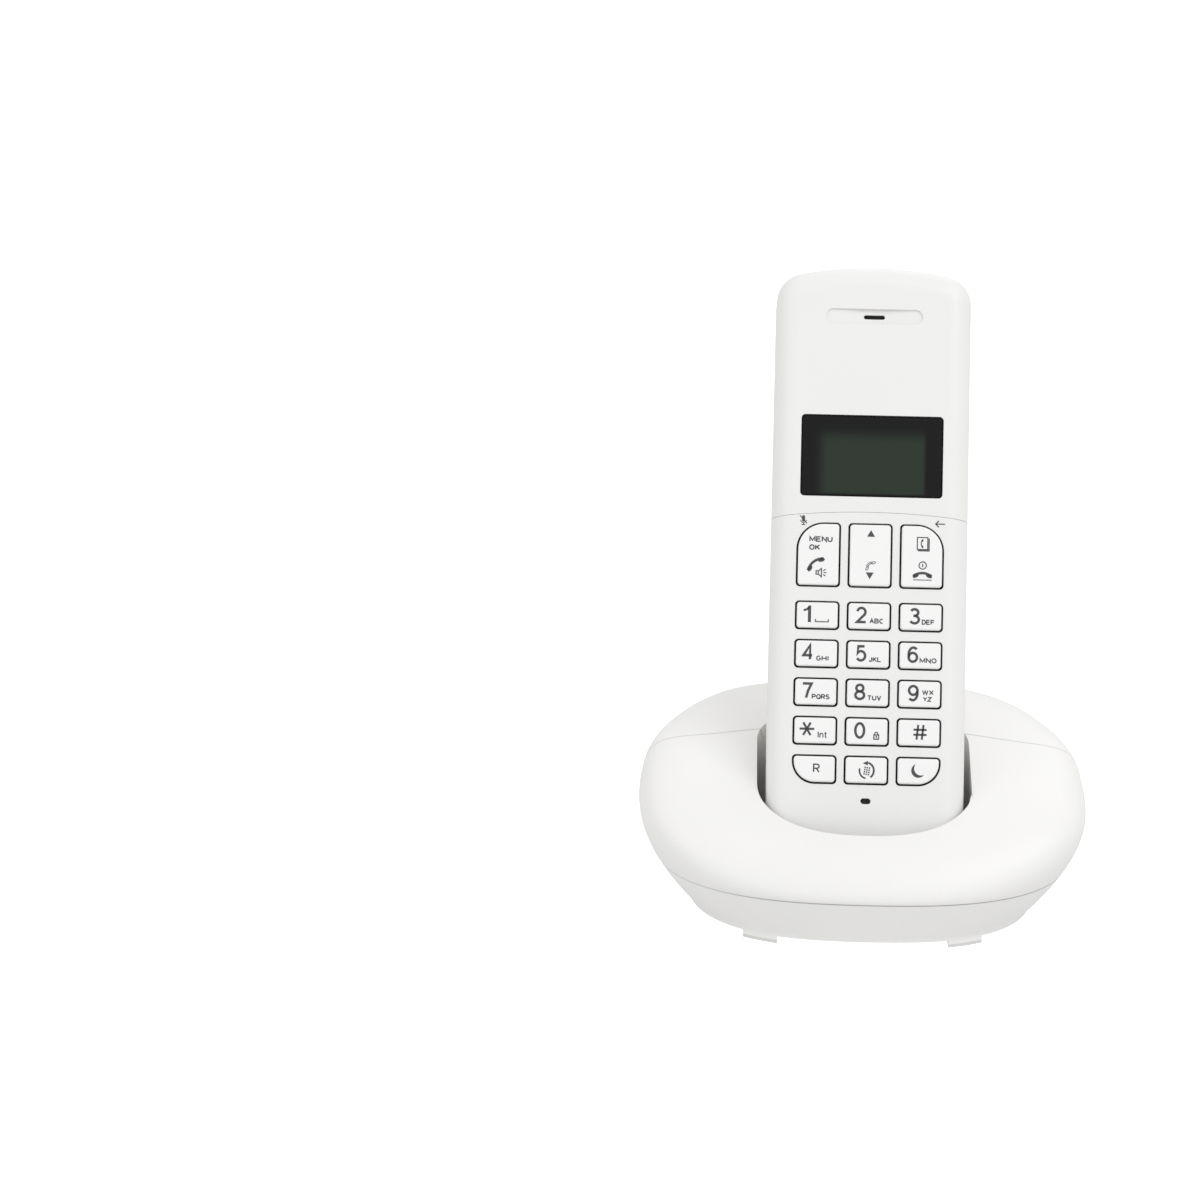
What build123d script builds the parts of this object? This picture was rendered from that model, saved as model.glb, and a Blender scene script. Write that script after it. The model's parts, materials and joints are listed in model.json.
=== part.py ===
from build123d import *
import math
import os

# A cordless telephone handset standing in its charging base.
# Millimetres, +Z up. The base sits on z = 0 and the keypad faces -Y.

# ---------------------------------------------------------------- placing
BASE_SHIFT_Y = -4.9      # puts the whole object's bounding box centre on y = 0
LEAN = 25.0              # degrees the docked handset leans back
DOCK_Y = -18.9           # handset's lower end, measured from the base's centre
DOCK_Z = 5.15

# ---------------------------------------------------------------- base sizes
HALF_WIDTH = 53.66       # widest plan section
HALF_DEPTH = 44.83
WAIST_Z = 25.13          # height of the widest section
SIDE_TAPER = 12.12       # how much narrower the plan is at the floor, each side
SIDE_TAPER_POWER = 1.85
END_TAPER = 8.02         # and how much shorter, each end
END_TAPER_POWER = 1.08
TAPER_END_Z = 2.5        # straight down below this
PLAN_POWER = 2.59        # superellipse power of the plan
SEAM_Z = 12.6            # upper covers meet the bottom shell here
FLOOR_Z = 1.7            # underside of the bottom shell
SPLIT_Y = 8.0            # front and rear covers meet on this plane
WALL = 2.2
DOME_CENTRE_Y = -9.0
CREST_Y = 24.05
CREST_Z = 36.8
DOME_RADIUS = 130.1
HUMP = 5.41
HUMP_START = 51.22
HUMP_SLANT = 1.332
HUMP_WIDTH = 35.65
HUMP_FLAT = 25.0         # the hump's edge runs straight across inside this half width
EDGE_POWER = 12.7        # how late the dome starts to roll over
ROLL_POWER = 4.61        # how tight the roll is
EDGE_POWER_FRONT = 5.5   # the front rolls over sooner and more softly
ROLL_POWER_FRONT = 2.3
FRONT_ROLL_FROM = 0.35   # share of the half depth where that starts
FRONT_ROLL_SPAN = 0.6
ROLL_RINGS = 19          # sections from the seam up to the opening
ROLL_INNER = 0.36        # the last of them, as a share of the plan
COVER_GAP = 0.04         # half the gap between covers
BOSSES = [(-36.0, -7.0), (36.0, -7.0), (-29.5, 21.0), (29.5, 21.0)]
JACK_X = 10.5
JACK_HALF = 6.25
JACK_LOW = 4.7
JACK_HIGH = 13.05
JACK_BACK = 35.4
BUTTON_Y = 41.0
BUTTON_Z = 23.5

# ---------------------------------------------------------------- handset sizes
LENGTH = 150.6
HALF_W = 23.3
HALF_W_TOP = 23.2
FRONT = 13.0             # front face to the handset's axis
BACK_LOW = 13.0          # back face to the axis, at the lower end
BACK_TOP = 8.0           # and at the upper end
HEEL = 8.0               # rise of the lower end from front to back
SHELL = 1.8
TOP_CORNER = 7.0         # rounding of the two upper corners, seen from the front
EDGE_ROUND = 5.3         # rounding of the long edges and the lower end
FRONT_DEPTH = 5.0        # front covers reach this far back
SEAM_S = 59.7            # upper and keypad covers meet this far from the top
SEAM_R = 185.0
EAR_S = 12.7             # earpiece slot from the top
LCD_S = 46.25            # middle of the display from the top
WINDOW_W = 33.7
WINDOW_H = 19.6
MIC_S = 128.15           # microphone hole from the top
SPEAKER_Z = 136.0        # loudspeaker in the back
HATCH_LOW = 65.5         # battery cover
HATCH_HIGH = 118.5
HATCH_HALF = 11.7
REAR_SCREW_Z = 22.0

# ---------------------------------------------------------------- keypad sizes
COLUMN = 12.2
ROW = 9.1
FIRST_ROW_S = 84.5
TOP_ROW_S = 70.05
HOLE_W = 10.55
HOLE_H = 6.93
TOP_HOLE_W = 10.5
TOP_HOLE_H = 15.45
KEY_GAP = 0.46
KEY_PROUD = 0.8
KEY_SKIRT = 0.75         # how far a cap's underside lies below the face
SHEET_TOP = 2.0
SHEET_THICK = 0.6
STEM_END = 4.8
PIVOT_DEPTH = 1.5        # the tall keys rock on a pin this far below the face
PIVOT_RADIUS = 0.45
SHEET_LOW_S = 125.4      # lower and upper edges of the key sheet, from the top
SHEET_HIGH_S = 61.3
BOARD_TOP = 6.0
BOARD = 1.2

parts = {}


# ================================================================ helpers
def ring(point, count=40):
    """Closed smooth wire through points given as a function of the unit superellipse."""
    points = []
    for i in range(count):
        t = 2 * math.pi * (i + 0.5) / count
        c = math.cos(t)
        s = math.sin(t)
        across = math.copysign(abs(c) ** (2 / PLAN_POWER), c)
        along = math.copysign(abs(s) ** (2 / PLAN_POWER), s)
        points.append(Vector(*point(across, along)))
    return Wire([Edge.make_spline(points, periodic=True)])


def half_plan(z):
    """Half width and half depth of the base at a height."""
    low = min(1.0, max(0.0, (WAIST_Z - z) / (WAIST_Z - TAPER_END_Z)))
    return (HALF_WIDTH - SIDE_TAPER * low ** SIDE_TAPER_POWER,
            HALF_DEPTH - END_TAPER * low ** END_TAPER_POWER)


def crown(x, y):
    """Height of the base's upper surface, before its edge rolls over."""
    out = (abs(x) ** 10 + HUMP_FLAT ** 10) ** 0.1
    rise = max(0.0, y + HUMP_START - HUMP_SLANT * out)
    hump = HUMP * (1 - math.exp(-((rise / HUMP_WIDTH) ** 2)))
    drop = DOME_RADIUS - math.sqrt(DOME_RADIUS ** 2 - (y - CREST_Y) ** 2)
    return CREST_Z - drop + hump


def roll_height(rho, along):
    """Share of the rise from the seam to the crown, at a share of the plan."""
    near = min(1.0, max(0.0, (-along - FRONT_ROLL_FROM) / FRONT_ROLL_SPAN))
    near = near * near * (3 - 2 * near)
    edge = EDGE_POWER + (EDGE_POWER_FRONT - EDGE_POWER) * near
    roll = ROLL_POWER + (ROLL_POWER_FRONT - ROLL_POWER) * near
    return max(0.0, 1 - rho ** edge) ** (1 / roll)


def roll_profile(count, inner, height):
    """Shares of the plan from the seam to the dome, evenly spaced along the surface."""
    radius = 48.0
    steps = 2000
    fine = []
    for i in range(steps + 1):
        t = math.pi / 2 * i / steps
        fine.append((math.cos(t) ** (2 / EDGE_POWER), math.sin(t) ** (2 / ROLL_POWER)))
    run = [0.0]
    for a, b in zip(fine, fine[1:]):
        run.append(run[-1] + math.hypot((a[0] - b[0]) * radius, (a[1] - b[1]) * height))
    last = next(i for i, p in enumerate(fine) if p[0] <= inner)
    found = []
    for k in range(count):
        want = run[last] * k / (count - 1)
        found.append(fine[min(range(last + 1), key=lambda i: abs(run[i] - want))][0])
    return found


def upper_blank(inset, bottom):
    """Solid dome of the base above a height, taken in by an inset."""
    rings = []
    for rho in roll_profile(ROLL_RINGS, ROLL_INNER, 26 - inset):
        def point(across, along, rho=rho):
            shift = DOME_CENTRE_Y * (1 - rho)
            x = (HALF_WIDTH - inset) * rho * across
            y = (HALF_DEPTH - inset) * rho * along + shift
            z = bottom + (crown(x, y) - inset - bottom) * roll_height(rho, along)
            a, b = half_plan(z)
            return (a - inset) * rho * across, (b - inset) * rho * along + shift, z
        rings.append(ring(point))

    def cap(across, along):
        x = (HALF_WIDTH - inset) * 0.24 * across
        y = (HALF_DEPTH - inset) * 0.24 * along + DOME_CENTRE_Y * 0.76
        return x, y, crown(0, DOME_CENTRE_Y) - inset + 0.36 * (y - DOME_CENTRE_Y)

    rings.append(ring(cap))
    return Solid.make_loft(rings)


def lower_blank(inset, heights, drop=0.0):
    """Solid of the base's lower plan sections through the given heights."""
    rings = []
    for z in heights:
        a, b = half_plan(z - drop)
        rings.append(ring(lambda across, along, a=a, b=b, z=z:
                          ((a - inset) * across, (b - inset) * along, z)))
    return Solid.make_loft(rings)


def block(x0, x1, y0, y1, z0, z1):
    """Box between two corners."""
    centre = Pos((x0 + x1) / 2, (y0 + y1) / 2, (z0 + z1) / 2)
    return centre * Box(x1 - x0, y1 - y0, z1 - z0)


def rod(x, y, z0, z1, radius):
    """Vertical cylinder."""
    return Pos(x, y, (z0 + z1) / 2) * Cylinder(radius, z1 - z0)


def plate(plan, low, high):
    """Plan sketch thickened from one height to another."""
    return Pos(0, 0, low) * extrude(plan, high - low)


def rounded(width, height, radius, big=0.0, side=0, end=0):
    """Rounded rectangle; the corner on the given side and end can have its own radius."""
    plan = Rectangle(width, height)
    corners = plan.vertices()
    special = [v for v in corners if v.X * side > 0 and v.Y * end > 0]
    if special:
        plan = fillet(special, big)
        spots = [(-width / 2, -height / 2), (width / 2, -height / 2),
                 (-width / 2, height / 2), (width / 2, height / 2)]
        plain = [v for v in plan.vertices()
                 if min(math.hypot(v.X - x, v.Y - y) for x, y in spots) < 0.01]
        return fillet(plain, radius)
    return fillet(corners, radius)


# ================================================================ frames
BASE = Pos(0, BASE_SHIFT_Y, 0)
DOCK = Location((0, DOCK_Y, DOCK_Z), (-LEAN, 0, 0))
# On the handset's front face: x across, y towards the top, z outwards.
FACE = Plane(origin=(0, -FRONT, 0), x_dir=(1, 0, 0), z_dir=(0, -1, 0)).location
HEEL_ANGLE = math.degrees(math.atan(HEEL / (FRONT + BACK_LOW)))
# On the handset's lower end: x across, y from front to back, z into the handset.
HEEL_FACE = Location((0, -FRONT, 0), (HEEL_ANGLE, 0, 0))
BACK_SLOPE = (BACK_LOW - BACK_TOP) / LENGTH
BACK_ANGLE = math.degrees(math.atan(BACK_SLOPE))


# ================================================================ cradle plan
def cradle_plan(grow=0.0):
    """Opening for the handset, seen along the handset: straight sides, bowed front."""
    half = 25.4 + grow
    bow = 12.6 + grow
    power = 2.4
    start = -5.0
    rear = 14.0 + grow
    front = []
    for i in range(25):
        t = math.pi * i / 24
        c = math.cos(t)
        x = -half * math.copysign(abs(c) ** (2 / power), c)
        front.append((x, start - bow * math.sin(t) ** (2 / power)))
    arc = Edge.make_spline([Vector(x, y, 0) for x, y in front],
                           tangents=[Vector(0, -1, 0), Vector(0, 1, 0)])
    right = Edge.make_line((half, start, 0), (half, rear, 0))
    across = Edge.make_line((half, rear, 0), (-half, rear, 0))
    left = Edge.make_line((-half, rear, 0), (-half, start, 0))
    plan = Sketch() + Face(Wire([arc, right, across, left]))
    return fillet([v for v in plan.vertices() if v.Y > rear - 0.1], 6.5 + grow)


# ================================================================ base
def build_base():
    outer = upper_blank(0.0, SEAM_Z)
    inner = upper_blank(WALL, SEAM_Z - 2)
    core = upper_blank(1.0, SEAM_Z - 2)
    shaft = DOCK * plate(cradle_plan(), -20, 90)

    boss_low = FLOOR_Z + 2.3
    dome = outer - inner - shaft
    for x, y in BOSSES:
        column = rod(x, y, SEAM_Z - 2, 45, 2.6) & core
        column = column + rod(x, y, boss_low, SEAM_Z - 2, 2.6)
        dome = dome + column
        dome = dome - rod(x, y, boss_low - 1, 17, 1.2)

    dome = dome - Pos(0, BUTTON_Y, BUTTON_Z) * Rot(90, 0, 0) * Cylinder(3.8, 12)
    parts["base_front_cover"] = dome & block(-60, 60, -60, SPLIT_Y - COVER_GAP, 0, 60)
    parts["base_rear_cover"] = dome & block(-60, 60, SPLIT_Y + COVER_GAP, 60, 0, 60)

    # bottom shell, its four moulded feet and the jack notches
    pad_height = 0.8
    low = lower_blank(0.0, [pad_height, 2.4, 4.4, 6.6, 8.8, 10.8, SEAM_Z - 0.1])
    hollow = lower_blank(WALL, [FLOOR_Z + 2, 6.5, 8.8, 11.2, 13.8], drop=1.2)
    sole = block(-60, 60, -60, 60, -1, FLOOR_Z)
    feet = [block(20, 28, 25, 44, -2, 5), block(-28, -20, 25, 44, -2, 5),
            block(20, 28, -44, -25, -2, 5), block(-28, -20, -44, -25, -2, 5)]
    pad_blank = lower_blank(0.0, [0.0, 0.3, 0.55, pad_height - 0.01])
    pads = []
    for foot in feet:
        sole = sole - foot
        pads.append(pad_blank & foot)
    shell = low - sole - hollow
    for side in (-1, 1):
        shell = shell - block(side * JACK_X - JACK_HALF - 0.15, side * JACK_X + JACK_HALF + 0.15,
                              30, 50, JACK_LOW - 0.1, 20)
    screws = []
    for x, y in BOSSES:
        shell = shell - rod(x, y, 0, 6, 1.6) - rod(x, y, 0, FLOOR_Z + 1.1, 3.0)
        head = rod(x, y, FLOOR_Z + 0.2, FLOOR_Z + 1.1, 2.7)
        slot = block(x - 2, x + 2, y - 0.3, y + 0.3, 0, FLOOR_Z + 0.7)
        cross = block(x - 0.3, x + 0.3, y - 2, y + 2, 0, FLOOR_Z + 0.7)
        screws.append(head + rod(x, y, FLOOR_Z + 1.0, 15, 1.15) - slot - cross)
    for i in range(7):
        x = -9.0 + 3.0 * i
        shell = shell - block(x - 0.7, x + 0.7, 12, 24, 0, 6)
    parts["base_bottom_shell"] = shell
    parts["base_rubber_feet"] = Compound(pads)
    parts["base_screws"] = Compound(screws)

    # cradle: walls carry on from the opening down to a floor under the handset
    room = 0.4
    floor = 1.3
    tube = DOCK * plate(cradle_plan(1.3), -20, 90)
    above = DOCK * HEEL_FACE * block(-60, 60, -80, 120, -room - floor, 120)
    cavity = DOCK * HEEL_FACE * block(-60, 60, -80, 120, -room, 120)
    inside = upper_blank(WALL + 0.1, SEAM_Z - 2)
    walls = tube & above
    walls = (walls & inside) + (walls & block(-60, 60, -60, 60, FLOOR_Z + 2.05, SEAM_Z - 2))
    well = walls - (shaft & cavity)
    contact_x = 9.0
    contact_y = 9.0
    for side in (-1, 1):
        well = well - DOCK * HEEL_FACE * block(side * contact_x - 1.6, side * contact_x + 1.6,
                                               contact_y - 3.0, contact_y + 3.0, -5, 0)
    parts["cradle_well"] = well
    for side, name in ((-1, "charge_contact_left"), (1, "charge_contact_right")):
        stud = Pos(side * contact_x, contact_y, -1.125) * Box(2.4, 4.8, 2.15)
        stud = fillet(stud.edges().filter_by(Axis.X).group_by(Axis.Z)[-1], 0.8)
        stud = stud + Pos(side * contact_x, contact_y, -1.97) * Box(4.2, 6.8, 0.46)
        parts[name] = DOCK * HEEL_FACE * stud

    # main board and what stands on it
    board_z = 14.0
    board_top = 15.6
    board = block(-26, 26, 7, 33, board_z, board_top) + block(-9, 9, 33, 36.5, board_z, board_top)
    parts["base_main_board"] = board
    can = block(-20, 2, 12, 28, board_top, 18.6)
    parts["base_shield_can"] = fillet(can.edges().filter_by(Axis.Z), 1.0)
    caps = [rod(9, 14, board_top, 24, 3.2), rod(17, 14, board_top, 21, 2.6),
            rod(12, 22, board_top, 20, 2.2)]
    caps = [fillet(c.edges().group_by(Axis.Z)[-1], 0.5) for c in caps]
    parts["base_capacitors"] = Compound(caps)
    antenna = block(-24, 20, 9.0, 9.6, board_top, 22) - block(-20, 16, 8, 11, 17.6, 20)
    parts["base_antenna"] = antenna
    for side, name in ((-1, "line_jack"), (1, "power_jack")):
        x = side * JACK_X
        body = block(x - JACK_HALF, x + JACK_HALF, 24, JACK_BACK, JACK_LOW, JACK_HIGH)
        mouth = block(x - 4.95, x + 4.95, 26, 50, JACK_LOW + 0.65, JACK_LOW + 7.45)
        key_slot = block(x - 1.9, x + 1.9, 26, 50, JACK_LOW + 0.25, JACK_LOW + 0.75)
        parts[name] = body - mouth - key_slot
    button = Rot(90, 0, 0) * Cylinder(3.5, 6.0)
    button = fillet(button.edges().group_by(Axis.Y)[-1], 0.7)
    button = Pos(0, BUTTON_Y, BUTTON_Z) * button
    button = button + Pos(0, BUTTON_Y - 2.75, BUTTON_Z) * Rot(90, 0, 0) * Cylinder(4.6, 1.0)
    parts["page_button"] = button
    switch = block(-4, 4, 31.5, 34.8, board_top, 27.0)
    switch = switch + Pos(0, 35.65, BUTTON_Z) * Rot(90, 0, 0) * Cylinder(1.6, 1.9)
    parts["page_switch"] = switch


# ================================================================ handset
def back_y(z):
    """Back face of the handset at a distance from its lower end."""
    return BACK_LOW - BACK_SLOPE * z


def handset_blank(inset):
    """Handset body, taken in by an inset on every side."""
    low = -20.0
    sag = 3.2
    top = LENGTH - inset
    corner = top - sag
    side = HALF_W - inset
    side_top = HALF_W_TOP - inset
    outline = Wire([
        Edge.make_line((-side, low, 0), (side, low, 0)),
        Edge.make_line((side, low, 0), (side_top, corner, 0)),
        Edge.make_three_point_arc((side_top, corner, 0), (0, top, 0), (-side_top, corner, 0)),
        Edge.make_line((-side_top, corner, 0), (-side, low, 0)),
    ])
    body = FACE * extrude(Sketch() + Face(outline), 60, both=True)
    tilt = math.radians(HEEL_ANGLE)
    lift = inset / math.cos(tilt)
    profile = Polyline(
        (0, -FRONT + inset, (inset) * math.tan(tilt) + lift),
        (0, back_y(0) - inset, (FRONT + back_y(0) - inset) * math.tan(tilt) + lift),
        (0, back_y(200) - inset, 200),
        (0, -FRONT + inset, 200),
        close=True)
    slab = extrude(make_face(profile), 60, both=True, dir=(1, 0, 0))
    body = body & slab
    ends = [e for e in body.edges()
            if abs(e.tangent_at(0.5).X) < 0.05 and abs(e.tangent_at(0.5).Y) > 0.9]
    body = fillet([e for e in ends if e.center().Z > LENGTH / 2], TOP_CORNER - inset)
    heel = [e for e in body.edges()
            if abs(e.tangent_at(0.5).X) < 0.05 and abs(e.tangent_at(0.5).Y) > 0.9
            and e.center().Z < LENGTH / 2]
    front = body.faces().sort_by(Axis.Y)[0]
    back = max([f for f in body.faces() if f.normal_at().Y > 0.9], key=lambda f: f.area)
    body = fillet(heel + list(front.edges()) + list(back.edges()), EDGE_ROUND - inset)
    return body


def key_list():
    """Every key: name, column, distance from the top, hole size, own corner."""
    found = [("key_menu_talk", -1, TOP_ROW_S, TOP_HOLE_W, TOP_HOLE_H, 6.5, -1, 1),
             ("key_nav", 0, TOP_ROW_S, TOP_HOLE_W, TOP_HOLE_H, 0, 0, 0),
             ("key_book_end", 1, TOP_ROW_S, TOP_HOLE_W, TOP_HOLE_H, 6.5, 1, 1)]
    names = [["key_1", "key_2", "key_3"], ["key_4", "key_5", "key_6"],
             ["key_7", "key_8", "key_9"], ["key_star", "key_0", "key_hash"],
             ["key_flash", "key_redial", "key_night"]]
    for row, line in enumerate(names):
        for column, name in zip((-1, 0, 1), line):
            last = row == len(names) - 1 and column != 0
            found.append((name, column, FIRST_ROW_S + row * ROW, HOLE_W, HOLE_H,
                          5.4 if last else 0, column if last else 0, -1 if last else 0))
    return found


def build_handset():
    shell = handset_blank(0.0) - handset_blank(SHELL)
    split_y = -FRONT + FRONT_DEPTH
    front = shell & block(-40, 40, -40, split_y - 0.05, -20, 200)
    rear = shell & block(-40, 40, split_y + 0.05, 40, -20, 200)

    # upper and keypad covers part on a shallow arc
    arc_centre = Pos(0, LENGTH - SEAM_S - SEAM_R, 0)
    below = FACE * (arc_centre * Cylinder(SEAM_R - COVER_GAP, 60))
    beyond = FACE * (arc_centre * Cylinder(SEAM_R + COVER_GAP, 60))
    upper = front - beyond
    keypad = front & below

    # earpiece: a pill-shaped dish that deepens towards its slot
    ear_v = LENGTH - EAR_S
    pill = SlotOverall(23.0, 3.7)
    dish = FACE * Pos(0, ear_v, 0) * plate(pill, -1.1, 3)
    vee = FACE * Pos(0, ear_v, 0) * (
        Polyline((-12, 0, -0.35), (0, 0, -1.1), (12, 0, -0.35), (12, 0, 3), (-12, 0, 3),
                 close=True))
    wedge = extrude(make_face(vee), 6, both=True, dir=(0, 0, 1))
    upper = upper - (dish & wedge)
    upper = upper - FACE * Pos(0, ear_v, 0) * plate(SlotOverall(5.05, 1.05), -4, 2)

    # display window
    lcd_v = LENGTH - LCD_S
    window = rounded(WINDOW_W, WINDOW_H, 1.0)
    upper = upper - FACE * Pos(0, lcd_v, 0) * plate(window, -4, 3)
    lens = plate(rounded(WINDOW_W - 0.3, WINDOW_H - 0.3, 0.9), -1.75, -0.3)
    lens = chamfer(lens.edges().group_by(Axis.Z)[-1], 0.3)
    parts["display_lens"] = FACE * Pos(0, lcd_v, 0) * lens
    parts["lcd_module"] = FACE * block(-18.6, 18.6, lcd_v - 12, lcd_v + 12, -4.0, -1.95)
    parts["lcd_backlight"] = FACE * block(-18.2, 18.2, lcd_v - 11.6, lcd_v + 11.6, -5.85, -4.1)

    # keypad: holes, caps, sheet with clearance holes
    sheet = block(-19.0, 19.0, LENGTH - SHEET_LOW_S, LENGTH - SHEET_HIGH_S,
                  -SHEET_TOP - SHEET_THICK, -SHEET_TOP)
    for name, column, s, width, height, big, side, end in key_list():
        u = column * COLUMN
        v = LENGTH - s
        hole = plate(rounded(width, height, 1.0, big, side, end), -4, 3)
        keypad = keypad - FACE * Pos(u, v, 0) * hole
        own = max(big - KEY_GAP, 0)
        plan = rounded(width - 2 * KEY_GAP, height - 2 * KEY_GAP, 0.7, own, side, end)
        cap = plate(plan, -KEY_SKIRT, KEY_PROUD)
        cap = fillet(cap.edges().group_by(Axis.Z)[-1], 0.45)
        low = -SHEET_TOP - SHEET_THICK - 0.15
        if height > 10:
            cap = cap + block(-1.8, 1.8, -1.6, 1.6, -STEM_END, -KEY_SKIRT)
            cap = cap + Pos(0, 0, -PIVOT_DEPTH) * Rot(0, 90, 0) * Cylinder(PIVOT_RADIUS, 5.2)
            sheet = sheet - block(u - 2.8, u + 2.8, v - 2.6, v + 2.6, -5, 0)
            for post in (-5.0, 5.0):
                cap = cap + block(-1.5, 1.5, post - 0.8, post + 0.8, -STEM_END, -KEY_SKIRT)
                sheet = sheet - block(u - 2.5, u + 2.5, v + post - 1.7, v + post + 1.7, -5, 0)
        else:
            cap = cap + block(-2.2, 2.2, -1.4, 1.4, -STEM_END, -KEY_SKIRT)
            cap = cap + block(-3.4, 3.4, -2.3, 2.3, low - 0.5, low)
            sheet = sheet - block(u - 2.7, u + 2.7, v - 1.9, v + 1.9, -5, 0)
        parts[name] = FACE * Pos(u, v, 0) * cap
    parts["keypad_sheet"] = FACE * sheet

    mic_v = LENGTH - MIC_S
    keypad = keypad - FACE * Pos(0, mic_v, 0) * plate(SlotOverall(2.4, 1.39), -4, 2)
    parts["handset_upper_cover"] = upper
    parts["handset_keypad_cover"] = keypad
    parts["microphone"] = FACE * Pos(0, mic_v, -3.2) * Cylinder(2.2, 2.4)
    ear = Pos(0, ear_v, -3.3) * Cylinder(6.4, 2.6) - Pos(0, ear_v, -2.2) * Cylinder(4.8, 1.0)
    parts["earpiece_speaker"] = FACE * ear

    # main board with its dome switches
    board = block(-19, 19, 15, LENGTH - 7, -BOARD_TOP - BOARD, -BOARD_TOP)
    for name, column, s, width, height, big, side, end in key_list():
        posts = (-5.0, 5.0) if height > 10 else (0.0,)
        for post in posts:
            dome = Pos(column * COLUMN, LENGTH - s + post, -BOARD_TOP + 0.05) * Cylinder(1.9, 0.14)
            board = board + dome
    parts["handset_board"] = FACE * board
    board_back = -BOARD_TOP - BOARD
    can = block(-15, 15, 31, 55, board_back - 2.4, board_back)
    parts["handset_shield_can"] = FACE * can
    coil = block(-14, 14, 129.0, 130.0, board_back - 3.0, board_back)
    coil = coil + block(-14, -13, 124, 129.5, board_back - 3.0, board_back)
    coil = coil + block(13, 14, 124, 129.5, board_back - 3.0, board_back)
    parts["handset_antenna"] = FACE * coil

    # battery bay, two cells and their contacts
    bay_low = 66.0
    bay_high = 118.0
    bay_half = 11.7
    tray_front = -4.5
    tray = block(-bay_half - 0.9, bay_half + 0.9, tray_front, 6.9, bay_low - 0.9, bay_high + 0.9)
    tray = tray - block(-bay_half, bay_half, tray_front + 1, 20, bay_low, bay_high)
    parts["battery_tray"] = tray
    cells = []
    springs = []
    contacts = []
    cell_y = 1.9
    for side in (-1, 1):
        x = side * 5.6
        cell = Pos(x, cell_y, 93.6) * Cylinder(5.2, 43.2)
        cell = fillet(cell.edges(), 0.6)
        cell = cell + Pos(x, cell_y, 115.7) * Cylinder(1.9, 1.2)
        cells.append(cell)
        outer = Pos(x, cell_y, 69.3) * Cone(4.2, 2.6, 5.0)
        springs.append(outer - Pos(x, cell_y, 69.3) * Cone(3.6, 2.0, 5.2))
        contacts.append(block(x - 4.8, x + 4.8, -2.5, 6.3, 66.1, 66.6))
        contacts.append(block(x - 4.8, x + 4.8, -2.5, 6.3, 116.5, 117.0))
    parts["battery_cells"] = Compound(cells)
    parts["battery_springs"] = Compound(springs)
    parts["battery_contacts"] = Compound(contacts)

    # rear shell, battery cover, speaker slots, charging pads and screws
    cut = block(-HATCH_HALF, HATCH_HALF, 2, 30, HATCH_LOW, HATCH_HIGH)
    gap = 0.15
    lid = rear & block(-HATCH_HALF + gap, HATCH_HALF - gap, 2, 30,
                       HATCH_LOW + gap, HATCH_HIGH - gap)
    rear = rear - cut
    for i in range(4):
        z = HATCH_LOW + 5.0 + 1.8 * i
        groove = Pos(0, back_y(z), z) * Rot(0, 90, 0) * Cylinder(0.45, 10)
        lid = lid - groove
    parts["battery_cover"] = lid
    for i in range(5):
        z = SPEAKER_Z - 6 + 3.0 * i
        reach = math.sqrt(max(8.5 ** 2 - (z - SPEAKER_Z) ** 2, 4))
        rear = rear - block(-reach, reach, 2, 30, z - 0.6, z + 0.6)
    inner_y = back_y(SPEAKER_Z) - SHELL
    speaker = Pos(0, inner_y - 2.3, SPEAKER_Z) * Rot(90, 0, 0) * Cylinder(8.8, 3.4)
    parts["loudspeaker"] = speaker
    pads = []
    for side in (-1, 1):
        x = side * 9.0
        rear = rear - HEEL_FACE * block(x - 2.6, x + 2.6, 6.1, 11.9, -1, 2.6)
        pads.append(HEEL_FACE * block(x - 2.5, x + 2.5, 6.2, 11.8, 0.02, 2.2))
    parts["handset_charge_pads"] = Compound(pads)
    screws = []
    for side in (-1, 1):
        x = side * 13.0
        back = back_y(REAR_SCREW_Z)
        post = Pos(x, (back - 1 - 5.4) / 2, REAR_SCREW_Z) * Rot(90, 0, 0) * Cylinder(2.7, back - 1 + 5.4)
        rear = rear + post
        rear = rear - Pos(x, 5, REAR_SCREW_Z) * Rot(90, 0, 0) * Cylinder(1.25, 30)
        rear = rear - Pos(x, back + 4, REAR_SCREW_Z) * Rot(90, 0, 0) * Cylinder(2.6, 12.3)
        shank = Pos(x, 4.2, REAR_SCREW_Z) * Rot(90, 0, 0) * Cylinder(1.15, 14)
        head = Pos(x, back - 1.6, REAR_SCREW_Z) * Rot(90, 0, 0) * Cylinder(2.35, 1.0)
        slot = block(x - 1.6, x + 1.6, back - 1.5, back + 1, REAR_SCREW_Z - 0.3, REAR_SCREW_Z + 0.3)
        cross = block(x - 0.3, x + 0.3, back - 1.5, back + 1, REAR_SCREW_Z - 1.6, REAR_SCREW_Z + 1.6)
        screws.append(shank + head - slot - cross)
    parts["handset_rear_shell"] = rear
    parts["handset_screws"] = Compound(screws)


# ================================================================ writing
def main():
    os.makedirs("parts", exist_ok=True)
    build_base()
    base_names = list(parts)
    build_handset()
    for name, shape in parts.items():
        place = BASE if name in base_names else BASE * DOCK
        export_step(place * shape, f"parts/{name}.step")


main()
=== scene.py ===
"""Looks for a cordless telephone standing in its charging base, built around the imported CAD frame."""

import json
import math

import bpy
from mathutils import Matrix, Vector


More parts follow.
